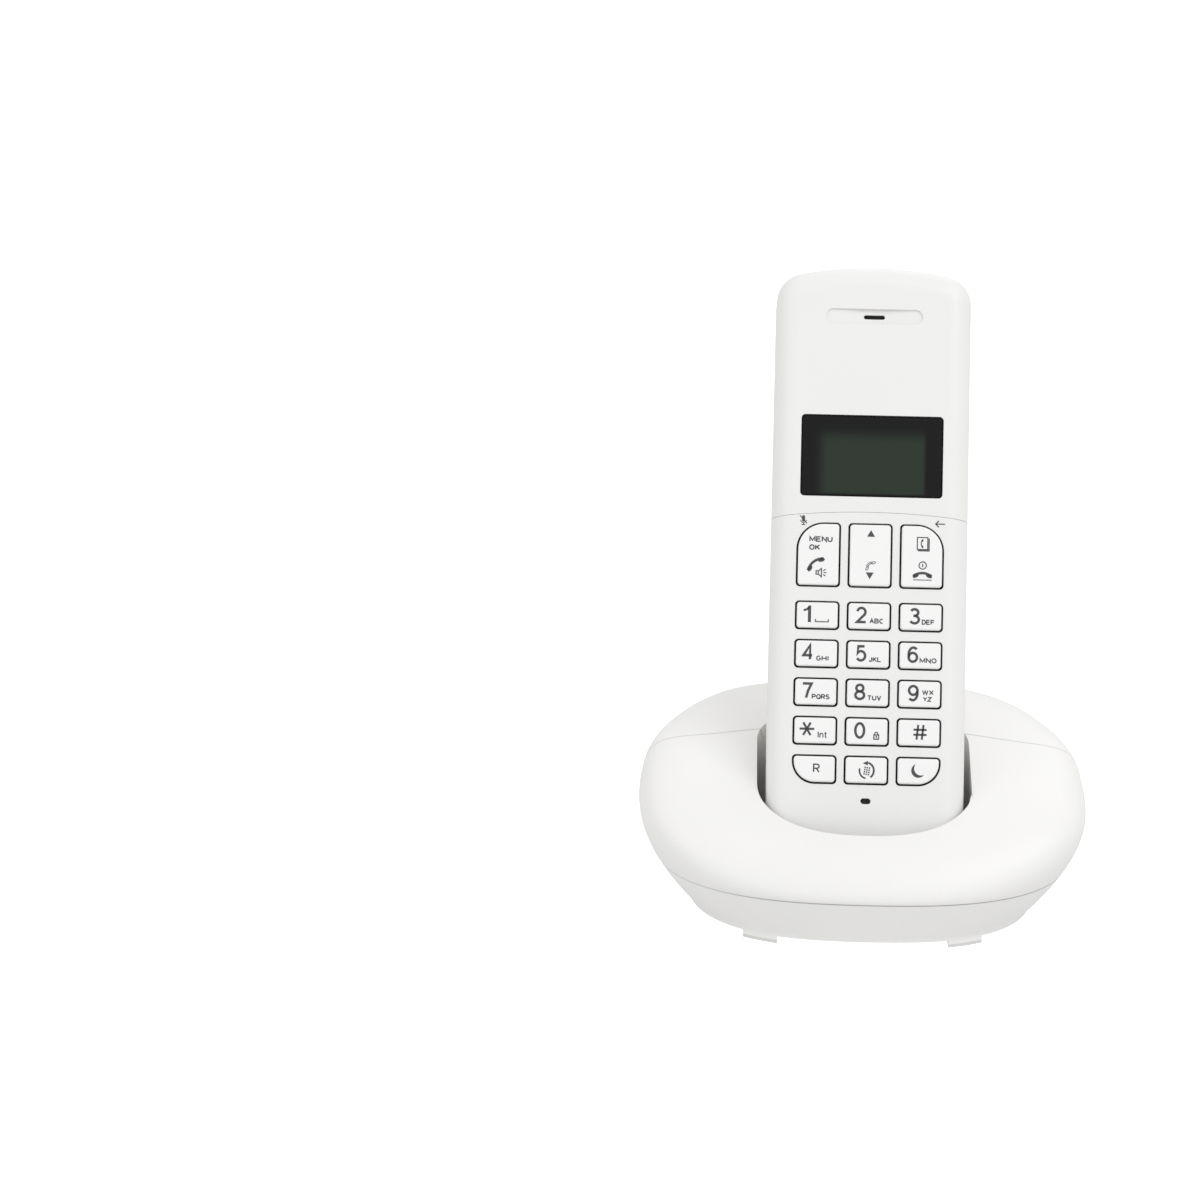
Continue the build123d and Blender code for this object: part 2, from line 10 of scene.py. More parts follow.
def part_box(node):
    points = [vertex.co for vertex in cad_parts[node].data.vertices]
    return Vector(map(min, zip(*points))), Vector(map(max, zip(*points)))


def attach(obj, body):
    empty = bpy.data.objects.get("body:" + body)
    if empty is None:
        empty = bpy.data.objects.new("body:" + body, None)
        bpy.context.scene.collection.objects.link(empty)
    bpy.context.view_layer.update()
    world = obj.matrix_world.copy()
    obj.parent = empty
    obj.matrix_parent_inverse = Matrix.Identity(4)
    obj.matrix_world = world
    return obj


MM = 0.001
INK_THICK = 0.03 * MM

# ---------------------------------------------------------------- camera, as the photograph was taken
IMAGE_SIZE = 1200
SENSOR = 36.0                     # mm
FOCAL_PIXELS = 4121.0
DISTANCE = 0.993                  # from the camera to the aiming point
RAY_ELEVATION = math.radians(21.0)     # of the camera as seen from the aiming point
CAMERA_PITCH = math.radians(18.27)
CAMERA_PAN = math.radians(3.92)
CAMERA_ROLL = math.radians(0.94)
CAMERA_AZIMUTH = math.radians(-2.54)   # seen very slightly from the left
AZIMUTH_PIVOT = 0.0042                 # it turns about a point this far behind the base's middle
AIM_HEIGHT = 0.0221
NEAR_CLIP = 0.05

# ---------------------------------------------------------------- colours, linear
BASE_WHITE = (0.83, 0.825, 0.81)
HANDSET_WHITE = (0.80, 0.797, 0.785)
KEY_WHITE = (0.85, 0.85, 0.845)
INK_GREY = (0.062, 0.062, 0.066)
SHEET_BLACK = (0.012, 0.012, 0.013)
GLASS_DARK = (0.0075, 0.0075, 0.008)
GLASS_GREEN = (0.022, 0.033, 0.024)
FLOOR_PALE = (0.34, 0.34, 0.34)
FLOOR_GLOW = 0.46                 # light that the floor throws up at the object
SKY = 0.84                        # light from all around
WHITE_SEEN = 1.0                  # the camera sees floor and sky plain white, as in the photograph

# ---------------------------------------------------------------- base's parting lines, with painted shade along them
SEAM_GAP = 0.1 * MM               # between the upper covers and the bottom shell
SEAM_CORE = 0.08 * MM             # painted shade is darkest this close to a line
SEAM_REACH = 0.30 * MM            # and plain again from here
# share of the colour left at the darkest of the painted shade: round the base, and across where its covers meet
SEAM_SHADE = 0.7
SPLIT_SHADE = 0.78

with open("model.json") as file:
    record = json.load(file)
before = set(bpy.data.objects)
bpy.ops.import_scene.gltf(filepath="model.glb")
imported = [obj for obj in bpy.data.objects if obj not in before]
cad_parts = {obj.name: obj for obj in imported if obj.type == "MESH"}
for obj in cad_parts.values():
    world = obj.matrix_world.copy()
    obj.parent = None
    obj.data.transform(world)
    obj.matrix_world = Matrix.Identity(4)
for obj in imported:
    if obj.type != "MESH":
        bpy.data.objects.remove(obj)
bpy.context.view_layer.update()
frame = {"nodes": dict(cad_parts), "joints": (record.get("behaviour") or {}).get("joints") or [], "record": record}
joints = {joint["name"]: joint for joint in frame["joints"]}

# The handset's own axes: across, up along its length, and out of its face.
ACROSS = Vector((1, 0, 0))
UP = Vector(joints["handset_lift"]["axis"]).normalized()
OUT = ACROSS.cross(UP)


# ================================================================ places
def handset_box(name):
    """Lowest and highest values of a node along the handset's own axes, in metres."""
    points = [vertex.co for vertex in frame["nodes"][name].data.vertices]
    spans = [[point.dot(axis) for point in points] for axis in (ACROSS, UP, OUT)]
    return Vector([min(span) for span in spans]), Vector([max(span) for span in spans])


def face_place(across, up, out):
    """Matrix whose X runs across, Y along the handset and Z out of its face."""
    spot = ACROSS * across + UP * up + OUT * out
    turn = Matrix((ACROSS, UP, OUT)).transposed().to_4x4()
    return Matrix.Translation(spot) @ turn


# ================================================================ materials
def socket(shader, name, value):
    shader.inputs[name].default_value = value


def surface(name, colour, rough, metal=0.0, coat=0.0, specular=0.5):
    """Plain principled material."""
    material = bpy.data.materials.new(name)
    material.use_nodes = True
    shader = material.node_tree.nodes["Principled BSDF"]
    socket(shader, "Base Color", (*colour, 1.0))
    socket(shader, "Roughness", rough)
    socket(shader, "Metallic", metal)
    socket(shader, "Specular IOR Level", specular)
    socket(shader, "Coat Weight", coat)
    socket(shader, "Coat Roughness", 0.08)
    return material


def add_grain(material, scale, distance, rough_low, rough_high, mottle=0.015, stretch=(1, 1, 1)):
    """Fine surface texture: a little bump, with small variations in gloss and colour."""
    tree = material.node_tree
    shader = tree.nodes["Principled BSDF"]
    colour = tuple(shader.inputs["Base Color"].default_value)
    place = tree.nodes.new("ShaderNodeTexCoord")
    spot = tree.nodes.new("ShaderNodeMapping")
    spot.inputs["Scale"].default_value = stretch
    noise = tree.nodes.new("ShaderNodeTexNoise")
    noise.inputs["Scale"].default_value = scale
    noise.inputs["Detail"].default_value = 3.0
    patches = tree.nodes.new("ShaderNodeTexNoise")
    patches.inputs["Scale"].default_value = scale / 60
    patches.inputs["Detail"].default_value = 2.0
    bump = tree.nodes.new("ShaderNodeBump")
    bump.inputs["Distance"].default_value = distance
    bump.inputs["Strength"].default_value = 0.35
    spread = tree.nodes.new("ShaderNodeMapRange")
    spread.inputs["To Min"].default_value = rough_low
    spread.inputs["To Max"].default_value = rough_high
    shades = tree.nodes.new("ShaderNodeMix")
    shades.data_type = "RGBA"
    shades.inputs["A"].default_value = tuple(c * (1 - mottle) for c in colour[:3]) + (1.0,)
    shades.inputs["B"].default_value = tuple(min(1.0, c * (1 + mottle)) for c in colour[:3]) + (1.0,)
    tree.links.new(place.outputs["Object"], spot.inputs["Vector"])
    tree.links.new(spot.outputs["Vector"], noise.inputs["Vector"])
    tree.links.new(spot.outputs["Vector"], patches.inputs["Vector"])
    tree.links.new(noise.outputs["Fac"], bump.inputs["Height"])
    tree.links.new(bump.outputs["Normal"], shader.inputs["Normal"])
    tree.links.new(noise.outputs["Fac"], spread.inputs["Value"])
    tree.links.new(spread.outputs["Result"], shader.inputs["Roughness"])
    if not shader.inputs["Base Color"].links:
        tree.links.new(patches.outputs["Fac"], shades.inputs["Factor"])
        tree.links.new(shades.outputs["Result"], shader.inputs["Base Color"])
    return material


def satin_plastic(name, colour):
    """White housing plastic with a fine satin texture."""
    return add_grain(surface(name, colour, 0.42), 2600.0, 0.02 * MM, 0.38, 0.46)


def moulded(name, colour, rough, mottle=0.06):
    """Plain moulded plastic or rubber with a matt texture."""
    material = surface(name, colour, rough)
    return add_grain(material, 1800.0, 0.03 * MM, rough - 0.06, rough + 0.08, mottle)


def metal(name, colour, rough, stretch=(1, 1, 12)):
    """Rolled or plated metal with fine lines along one direction."""
    material = surface(name, colour, rough, metal=1.0)
    return add_grain(material, 1500.0, 0.006 * MM, rough - 0.07, rough + 0.09, 0.05, stretch)


def circuit_board():
    """Green solder mask with tracks showing through."""
    material = surface("solder_mask", (0.012, 0.085, 0.03), 0.4)
    tree = material.node_tree
    place = tree.nodes.new("ShaderNodeTexCoord")
    tracks = tree.nodes.new("ShaderNodeTexBrick")
    tracks.inputs["Color1"].default_value = (0.010, 0.075, 0.027, 1.0)
    tracks.inputs["Color2"].default_value = (0.012, 0.085, 0.030, 1.0)
    tracks.inputs["Mortar"].default_value = (0.025, 0.15, 0.05, 1.0)
    tracks.inputs["Scale"].default_value = 160.0
    tracks.inputs["Mortar Size"].default_value = 0.05
    tree.links.new(place.outputs["Object"], tracks.inputs["Vector"])
    tree.links.new(tracks.outputs["Color"], tree.nodes["Principled BSDF"].inputs["Base Color"])
    return add_grain(material, 900.0, 0.01 * MM, 0.35, 0.45)


def smooth_band(tree, value, edge, width, rising):
    """Fades from 0 to 1 (or back) around a distance along one axis."""
    step = tree.nodes.new("ShaderNodeMapRange")
    step.interpolation_type = "SMOOTHERSTEP"
    step.inputs["From Min"].default_value = edge - width / 2
    step.inputs["From Max"].default_value = edge + width / 2
    step.inputs["To Min"].default_value = 0.0 if rising else 1.0
    step.inputs["To Max"].default_value = 1.0 if rising else 0.0
    tree.links.new(value, step.inputs["Value"])
    return step.outputs["Result"]


def display_material():
    """Smoked window: the greenish display shows softly inside a darker border."""
    material = surface("smoked_window", GLASS_DARK, 0.10, specular=0.16)
    tree = material.node_tree
    shader = tree.nodes["Principled BSDF"]
    low, high = handset_box("display_lens")
    place = tree.nodes.new("ShaderNodeTexCoord")
    apart = tree.nodes.new("ShaderNodeSeparateXYZ")
    tree.links.new(place.outputs["Object"], apart.inputs["Vector"])
    along = tree.nodes.new("ShaderNodeVectorMath")
    along.operation = "DOT_PRODUCT"
    along.inputs[1].default_value = UP
    tree.links.new(place.outputs["Object"], along.inputs[0])
    bands = [
        smooth_band(tree, apart.outputs["X"], low.x + 4.7 * MM, 4.4 * MM, True),
        smooth_band(tree, apart.outputs["X"], high.x - 4.2 * MM, 1.4 * MM, False),
        smooth_band(tree, along.outputs["Value"], low.y + 0.6 * MM, 0.8 * MM, True),
        smooth_band(tree, along.outputs["Value"], high.y - 4.6 * MM, 5.2 * MM, False),
    ]
    mask = bands[0]
    for band in bands[1:]:
        product = tree.nodes.new("ShaderNodeMath")
        product.operation = "MULTIPLY"
        tree.links.new(mask, product.inputs[0])
        tree.links.new(band, product.inputs[1])
        mask = product.outputs["Value"]
    mix = tree.nodes.new("ShaderNodeMix")
    mix.data_type = "RGBA"
    mix.inputs["A"].default_value = (*GLASS_DARK, 1.0)
    mix.inputs["B"].default_value = (*GLASS_GREEN, 1.0)
    tree.links.new(mask, mix.inputs["Factor"])
    tree.links.new(mix.outputs["Result"], shader.inputs["Base Color"])
    return material


def shade_seams(material, seams):
    """Darkens the colour softly along parting lines: painted shade, standing for the shadow in the gaps between
    parts.
    """
    tree = material.node_tree
    shader = tree.nodes["Principled BSDF"]
    colour = shader.inputs["Base Color"].links[0].from_socket
    place = tree.nodes.new("ShaderNodeTexCoord")
    apart = tree.nodes.new("ShaderNodeSeparateXYZ")
    tree.links.new(place.outputs["Object"], apart.inputs["Vector"])
    for axis, middle, darkest in seams:
        offset = tree.nodes.new("ShaderNodeMath")
        offset.operation = "SUBTRACT"
        offset.inputs[1].default_value = middle
        tree.links.new(apart.outputs[axis], offset.inputs[0])
        distance = tree.nodes.new("ShaderNodeMath")
        distance.operation = "ABSOLUTE"
        tree.links.new(offset.outputs["Value"], distance.inputs[0])
        shade = tree.nodes.new("ShaderNodeMapRange")
        shade.interpolation_type = "SMOOTHERSTEP"
        shade.inputs["From Min"].default_value = SEAM_CORE
        shade.inputs["From Max"].default_value = SEAM_REACH
        shade.inputs["To Min"].default_value = darkest
        shade.inputs["To Max"].default_value = 1.0
        tree.links.new(distance.outputs["Value"], shade.inputs["Value"])
        darker = tree.nodes.new("ShaderNodeVectorMath")
        darker.operation = "SCALE"
        tree.links.new(colour, darker.inputs[0])
        tree.links.new(shade.outputs["Result"], darker.inputs["Scale"])
        colour = darker.outputs["Vector"]
    tree.links.new(colour, shader.inputs["Base Color"])
    return material


def base_seams():
    """Height of the seam around the base, and where its front and rear covers meet."""
    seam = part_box("base_bottom_shell")[1].z + SEAM_GAP / 2
    split = (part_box("base_front_cover")[1].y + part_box("base_rear_cover")[0].y) / 2
    return seam, split


def make_materials():
    """Every finish, by the record's slot name, and two more for the printed ink and the sockets' wires."""
    keys = surface("white_keys", KEY_WHITE, 0.36)
    wrap = surface("cell_wrap", (0.02, 0.09, 0.06), 0.3, coat=0.3)
    return {
        "base_plastic": satin_plastic("white_base", BASE_WHITE),
        "handset_plastic": satin_plastic("white_handset", HANDSET_WHITE),
        "key_plastic": add_grain(keys, 3000.0, 0.012 * MM, 0.32, 0.4, 0.01),
        "foot_rubber": moulded("pale_feet", (0.68, 0.68, 0.66), 0.72),
        "screw_steel": metal("zinc_screw", (0.56, 0.56, 0.57), 0.35),
        "board": circuit_board(),
        "tinned_steel": metal("tinned_steel", (0.62, 0.62, 0.62), 0.3),
        "can_aluminium": moulded("capacitor_sleeve", (0.05, 0.05, 0.06), 0.4),
        "spring_metal": metal("nickel", (0.68, 0.66, 0.62), 0.25),
        "jack_plastic": moulded("jack_black", (0.03, 0.03, 0.032), 0.45),
        "dark_plastic": moulded("inner_black", (0.02, 0.02, 0.021), 0.5),
        "display_window": display_material(),
        "display_glass": moulded("display_cell", (0.03, 0.04, 0.03), 0.2),
        "light_guide": moulded("light_guide", (0.7, 0.72, 0.7), 0.2),
        "keypad_rubber": moulded("keypad_sheet", SHEET_BLACK, 0.65),
        "cell_wrap": add_grain(wrap, 400.0, 0.02 * MM, 0.25, 0.36, 0.08),
        "contact_metal": metal("contact_nickel", (0.72, 0.69, 0.62), 0.22),
        "ink": moulded("legend_ink", INK_GREY, 0.6),
        "gold": metal("gold_wire", (0.80, 0.58, 0.25), 0.25),
    }


def paint_nodes(materials):
    """Gives every CAD node its slot's material; the base's outside also gets painted shade along its parting
    lines.
    """
    slots = {part["node"]: part["material_slot"] for part in frame["record"]["subparts"]}
    for name, node in frame["nodes"].items():
        node.data.materials.clear()
        node.data.materials.append(materials[slots[name]])
    seam, split = base_seams()
    around = ("Z", seam, SEAM_SHADE)
    across = ("Y", split, SPLIT_SHADE)
    # the base's white with painted shade along the seam round it and along the split between its covers
    covers = shade_seams(satin_plastic("white_base_cover_painted_seam_shade", BASE_WHITE), [around, across])
    tray = shade_seams(satin_plastic("white_base_tray_painted_seam_shade", BASE_WHITE), [around])
    frame["nodes"]["base_front_cover"].data.materials[0] = covers
    frame["nodes"]["base_rear_cover"].data.materials[0] = covers
    frame["nodes"]["base_bottom_shell"].data.materials[0] = tray


# ================================================================ printed legends
class Print:
    """Flat shapes in millimetres, gathered into one thin mesh."""

    def __init__(self):
        self.points = []
        self.faces = []

    def prism(self, outline):
        """Filled outline, counter-clockwise, as a thin slab."""
        first = len(self.points)
        count = len(outline)
        for height in (0.0, 1.0):
            self.points += [(x, y, height) for x, y in outline]
        self.faces.append([first + count + i for i in range(count)])
        self.faces.append([first + i for i in reversed(range(count))])
        for i in range(count):
            after = (i + 1) % count
            self.faces.append([first + i, first + after, first + count + after, first + count + i])

    def band(self, outer, inner):
        """Area between two lines that have the same number of points."""
        for i in range(len(outer) - 1):
            corners = [outer[i], outer[i + 1], inner[i + 1], inner[i]]
            kept = [spot for k, spot in enumerate(corners) if spot != corners[k - 1]]
            self.prism(kept)

    def stroke(self, line, width, closed=False):
        """Line of even width."""
        count = len(line)
        sides = []
        for i, spot in enumerate(line):
            before = line[i - 1] if i or closed else spot
            after = line[(i + 1) % count] if i < count - 1 or closed else spot
            back = Vector((spot[0] - before[0], spot[1] - before[1]))
            ahead = Vector((after[0] - spot[0], after[1] - spot[1]))
            back = (back if back.length else ahead).normalized()
            ahead = (ahead if ahead.length else back).normalized()
            mid = (back + ahead).normalized()
            across = Vector((-mid.y, mid.x))
            reach = width / 2 / max(0.4, across.dot(Vector((-ahead.y, ahead.x))))
            sides.append((Vector(spot) + across * reach, Vector(spot) - across * reach))
        first = len(self.points)
        for left, right in sides:
            self.points += [(left.x, left.y, 0.0), (right.x, right.y, 0.0),
                            (left.x, left.y, 1.0), (right.x, right.y, 1.0)]
        for i in range(count if closed else count - 1):
            a = first + 4 * i
            b = first + 4 * ((i + 1) % count)
            self.faces.append([a + 2, a + 3, b + 3, b + 2])
            self.faces.append([a, b, b + 1, a + 1])
            self.faces.append([a, a + 2, b + 2, b])
            self.faces.append([a + 1, b + 1, b + 3, a + 3])
        if not closed:
            last = first + 4 * (count - 1)
            self.faces.append([first, first + 1, first + 3, first + 2])
            self.faces.append([last, last + 2, last + 3, last + 1])

    def letters(self, words, left, base, width, height, weight):
        """Stroked lettering fitted into a box that starts at its left end and its base line."""
        widths = [LETTER_WIDTHS.get(letter, 1.0) for letter in words]
        scale = (width - weight) / (sum(widths) + LETTER_GAP * (len(words) - 1))
        x = left + weight / 2
        for letter, wide in zip(words, widths):
            for line in glyph_lines(letter):
                closed = line[0] == line[-1]
                spots = line[:-1] if closed else line
                self.stroke([(x + px * wide * scale, base + weight / 2 + py * (height - weight))
                             for px, py in spots], weight, closed)
            x += (wide + LETTER_GAP) * scale

    def place(self, name, matrix, body, material):
        """Makes the mesh, stands it on the surface at the matrix, and lets it ride on a body."""
        mesh = bpy.data.meshes.new(name)
        mesh.from_pydata([(x * MM, y * MM, z * INK_THICK) for x, y, z in self.points], [], self.faces)
        mesh.validate()
        mesh.materials.append(material)
        piece = bpy.data.objects.new(name, mesh)
        bpy.context.scene.collection.objects.link(piece)
        piece.matrix_world = matrix
        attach(piece, body)


def arc(x, y, radius, start, end, steps=16, tall=None):
    """Points along an arc, angles in degrees; tall makes it an ellipse."""
    tall = radius if tall is None else tall
    turns = [math.radians(start + (end - start) * i / steps) for i in range(steps + 1)]
    return [(x + radius * math.cos(t), y + tall * math.sin(t)) for t in turns]


def disc(sheet, x, y, radius, steps=20):
    """Filled circle."""
    sheet.prism(arc(x, y, radius, 0, 360 * (steps - 1) / steps, steps - 1))


LETTER_WIDTHS = {"I": 0.12, "J": 0.75, "M": 1.25, "W": 1.45, "O": 1.1, "Q": 1.1, "n": 0.85, "t": 0.6}
LETTER_GAP = 0.42


def glyph_lines(letter):
    """Centre lines of a plain upright letter or figure, in a box one wide and one high."""
    oval = arc(0.5, 0.5, 0.5, 0, 360, 28, 0.5)
    oval[-1] = oval[0]
    lines = {
        "0": [oval],
        "2": [arc(0.49, 0.71, 0.46, 170, -38, 16, 0.29) + [(0.0, 0.0), (1.0, 0.0)]],
        "3": [arc(0.47, 0.765, 0.42, 155, -90, 16, 0.235) + [(0.34, 0.53)],
              arc(0.47, 0.265, 0.5, 90, -155, 16, 0.265)],
        "4": [[(0.76, 0.0), (0.76, 1.0), (0.0, 0.28), (1.0, 0.28)]],
        "5": [[(0.9, 1.0), (0.2, 1.0), (0.1, 0.5)] + arc(0.49, 0.33, 0.49, 128, -150, 18, 0.33)],
        "6": [ring_of(0.5, 0.31, 0.48, 0.31), arc(0.56, 0.5, 0.54, 48, 200, 14, 0.5)],
        "7": [[(0.0, 1.0), (1.0, 1.0), (0.62, 0.5), (0.4, 0.0)]],
        "8": [ring_of(0.5, 0.765, 0.4, 0.235), ring_of(0.5, 0.265, 0.5, 0.265)],
        "9": [ring_of(0.5, 0.69, 0.48, 0.31), arc(0.44, 0.5, 0.54, 228, 380, 14, 0.5)],
        "A": [[(0.0, 0.0), (0.5, 1.0), (1.0, 0.0)], [(0.2, 0.34), (0.8, 0.34)]],
        "B": [[(0.58, 0.52), (0.0, 0.52), (0.0, 1.0), (0.55, 1.0)]
              + arc(0.6, 0.76, 0.34, 90, -90, 10, 0.24),
              [(0.0, 0.52), (0.0, 0.0), (0.6, 0.0)] + arc(0.6, 0.26, 0.4, -90, 90, 10, 0.26)],
        "C": [arc(0.52, 0.5, 0.5, 48, 312, 20, 0.5)],
        "D": [[(0.45, 0.0), (0.0, 0.0), (0.0, 1.0), (0.45, 1.0)]
              + arc(0.45, 0.5, 0.55, 85, -90, 14, 0.5)],
        "E": [[(0.95, 1.0), (0.0, 1.0), (0.0, 0.0), (1.0, 0.0)], [(0.0, 0.52), (0.88, 0.52)]],
        "F": [[(1.0, 1.0), (0.0, 1.0), (0.0, 0.0)], [(0.0, 0.5), (0.85, 0.5)]],
        "G": [arc(0.52, 0.5, 0.5, 48, 322, 20, 0.5) + [(0.98, 0.46), (0.58, 0.46)]],
        "H": [[(0.0, 0.0), (0.0, 1.0)], [(1.0, 0.0), (1.0, 1.0)], [(0.0, 0.5), (1.0, 0.5)]],
        "I": [[(0.5, 0.0), (0.5, 1.0)]],
        "J": [[(0.9, 1.0)] + arc(0.45, 0.3, 0.45, 0, -180, 12, 0.3)],
        "K": [[(0.0, 0.0), (0.0, 1.0)], [(1.0, 1.0), (0.0, 0.38)], [(0.32, 0.6), (1.0, 0.0)]],
        "L": [[(0.0, 1.0), (0.0, 0.0), (1.0, 0.0)]],
        "M": [[(0.0, 0.0), (0.0, 1.0), (0.5, 0.2), (1.0, 1.0), (1.0, 0.0)]],
        "N": [[(0.0, 0.0), (0.0, 1.0), (1.0, 0.0), (1.0, 1.0)]],
        "O": [oval],
        "P": [[(0.0, 0.0), (0.0, 1.0), (0.55, 1.0)] + arc(0.6, 0.74, 0.4, 90, -90, 10, 0.26)
              + [(0.0, 0.48)]],
        "Q": [oval, [(0.6, 0.25), (1.02, -0.04)]],
        "S": [arc(0.5, 0.755, 0.44, 35, 268, 14, 0.245) + arc(0.5, 0.255, 0.47, 88, -150, 14, 0.255)],
        "T": [[(0.0, 1.0), (1.0, 1.0)], [(0.5, 1.0), (0.5, 0.0)]],
        "U": [[(0.0, 1.0)] + arc(0.5, 0.36, 0.5, 180, 360, 14, 0.36) + [(1.0, 1.0)]],
        "V": [[(0.0, 1.0), (0.5, 0.0), (1.0, 1.0)]],
        "W": [[(0.0, 1.0), (0.26, 0.0), (0.5, 0.9), (0.74, 0.0), (1.0, 1.0)]],
        "X": [[(0.0, 0.0), (1.0, 1.0)], [(0.0, 1.0), (1.0, 0.0)]],
        "Y": [[(0.0, 1.0), (0.5, 0.46), (1.0, 1.0)], [(0.5, 0.46), (0.5, 0.0)]],
        "Z": [[(0.0, 1.0), (1.0, 1.0), (0.0, 0.0), (1.0, 0.0)]],
        "n": [[(0.0, 0.0), (0.0, 0.72)], arc(0.5, 0.42, 0.5, 180, 0, 12, 0.3) + [(1.0, 0.0)]],
        "t": [[(0.4, 0.98), (0.4, 0.14), (0.62, 0.0), (0.95, 0.0)], [(0.0, 0.72), (0.9, 0.72)]],
    }
    lines["R"] = lines["P"] + [[(0.5, 0.48), (1.0, 0.0)]]
    return lines[letter]


def ring_of(x, y, wide, tall):
    """Closed oval whose last point repeats the first."""
    points = arc(x, y, wide, 0, 360, 24, tall)
    points[-1] = points[0]
    return points


def moved(points, x, y, turn=0.0, size=1.0):
    """Points scaled, turned by degrees and moved."""
    c = math.cos(math.radians(turn)) * size
    s = math.sin(math.radians(turn)) * size
    return [(x + px * c - py * s, y + px * s + py * c) for px, py in points]


def receiver(sheet, x, y, length, turn, handle, hollow=False):
    """Telephone receiver: a bowed handle with an earpiece and a mouthpiece."""
    half = length / 2
    bend = length * 0.17
    grip = [(half * (1 - 2 * i / 14), bend * (1 - (1 - 2 * i / 14) ** 2)) for i in range(15)]
    bulb = length * 0.15
    if not hollow:
        sheet.stroke(moved(grip, x, y, turn), handle)
    for side in (-1, 1):
        pod = arc(0, 0, bulb * 1.15, 0, 342, 19, bulb * 0.58)
        pod = moved(pod, side * (half - bulb * 0.95), 0.0, -side * 22)
        if hollow:
            sheet.stroke(moved(pod, x, y, turn), handle, closed=True)
        else:
            sheet.prism(moved(pod, x, y, turn))
    if hollow:
        middle = grip[3:-3]
        for shift in (-bulb * 0.42, bulb * 0.42):
            sheet.stroke(moved([(px, py + shift) for px, py in middle], x, y, turn), handle)


def triangle(sheet, x, y, width, height):
    """Filled triangle, pointing up, or down for a negative height."""
    points = [(x - width / 2, y - height / 2), (x + width / 2, y - height / 2), (x, y + height / 2)]
    if height < 0:
        points.reverse()
    sheet.prism(points)


def padlock(sheet, x, y):
    """Key lock sign: a body with a keyhole under a shackle."""
    body = [(x - 0.56, y - 0.78), (x + 0.56, y - 0.78), (x + 0.56, y + 0.22), (x - 0.56, y + 0.22)]
    sheet.stroke(body, 0.27, closed=True)
    shackle = arc(x, y + 0.5, 0.36, 0, 180, 10)
    sheet.stroke([(x + 0.36, y + 0.2)] + shackle + [(x - 0.36, y + 0.2)], 0.25)
    disc(sheet, x, y - 0.18, 0.2, 12)
    sheet.stroke([(x, y - 0.2), (x, y - 0.6)], 0.18)


def star(sheet, x, y):
    """Six-pointed star sign."""
    for turn in (0, 60, 120):
        c = 1.72 * math.cos(math.radians(turn))
        s = 1.72 * math.sin(math.radians(turn))
        sheet.stroke([(x - c, y - s), (x + c, y + s)], 0.52)


def one(sheet, x, base, height):
    """Figure 1: a stem with a slanting flag."""
    top = base + height
    stem = [(x + 0.1, base), (x + 0.82, base), (x + 0.82, top), (x + 0.22, top), (x + 0.1, top - 0.3)]
    sheet.prism(stem)
    flag = arc(x - 0.95, top + 0.42, 1.28, -90, -20, 8)
    under = arc(x - 0.95, top + 0.42, 1.78, -90, -38, 8)
    sheet.band(under, flag)


def hash_sign(sheet, x, y):
    """Hash sign with slightly leaning uprights."""
    for shift in (-0.62, 0.62):
        sheet.stroke([(x + shift - 0.18, y - 1.75), (x + shift + 0.18, y + 1.75)], 0.48)
        sheet.stroke([(x - 1.55, y + shift * 0.95), (x + 1.55, y + shift * 0.95)], 0.48)


def moon(sheet, x, y):
    """Crescent between an outer arc and an offset inner one."""
    outer = arc(x, y, 1.65, 111.2, 326.6, 24)
    inner = arc(x + 0.62, y + 0.5, 1.6, 139.5, 298.3, 24)
    inner[0] = outer[0]
    inner[-1] = outer[-1]
    sheet.band(outer, inner)


def redial(sheet, x, y):
    """Ring of two arcs with an arrow head, around a tiny keypad."""
    sheet.stroke(arc(x, y - 0.1, 1.68, 165, 262, 14, 1.85), 0.4)
    sheet.stroke(arc(x, y - 0.1, 1.68, -58, 78, 18, 1.85), 0.46)
    sheet.prism([(x - 0.95, y + 1.6), (x + 0.25, y + 1.1), (x + 0.3, y + 2.2)])
    for row in range(4):
        for column in range(3):
            spot = moved([((column - 1) * 0.52, (1.5 - row) * 0.52)], x + 0.05, y - 0.2, -8)[0]
            square = [(-0.17, -0.17), (0.17, -0.17), (0.17, 0.17), (-0.17, 0.17)]
            sheet.prism(moved(square, *spot, -8))


def talk_icons(sheet):
    """Raised receiver, with a loudspeaker below it."""
    receiver(sheet, -0.6, -2.45, 4.7, 38, 0.62)
    x, y = 0.45, -4.4
    magnet = [(x - 0.95, y - 0.4), (x - 0.42, y - 0.4), (x - 0.42, y + 0.4), (x - 0.95, y + 0.4)]
    cone = [(x - 0.42, y - 0.4), (x + 0.3, y - 1.0), (x + 0.3, y + 1.0), (x - 0.42, y + 0.4)]
    sheet.stroke(magnet, 0.26, closed=True)
    sheet.stroke(cone, 0.26)
    for turn in (-32, 0, 32):
        c = math.cos(math.radians(turn))
        s = math.sin(math.radians(turn))
        sheet.stroke([(x + 0.3 + 0.5 * c, y + 0.85 * s), (x + 0.3 + 1.15 * c, y + 1.5 * s)], 0.24)


def book_icon(sheet, x, y):
    """Phone book: a cover with a receiver on it, and page edges behind."""
    cover = [(x - 1.3, y - 1.4), (x + 1.15, y - 1.4), (x + 1.15, y + 1.45), (x - 1.3, y + 1.45)]
    sheet.stroke(cover, 0.25, closed=True)
    sheet.stroke([(x - 1.15, y - 1.7), (x + 1.47, y - 1.7), (x + 1.47, y + 1.25)], 0.3)
    receiver(sheet, x - 0.05, y, 2.0, 90, 0.24)


def power_icon(sheet, x, y):
    """Ring around a short upright."""
    sheet.stroke(arc(x, y, 0.86, 0, 345, 23), 0.25, closed=True)
    sheet.stroke([(x, y - 0.4), (x, y + 0.4)], 0.27)


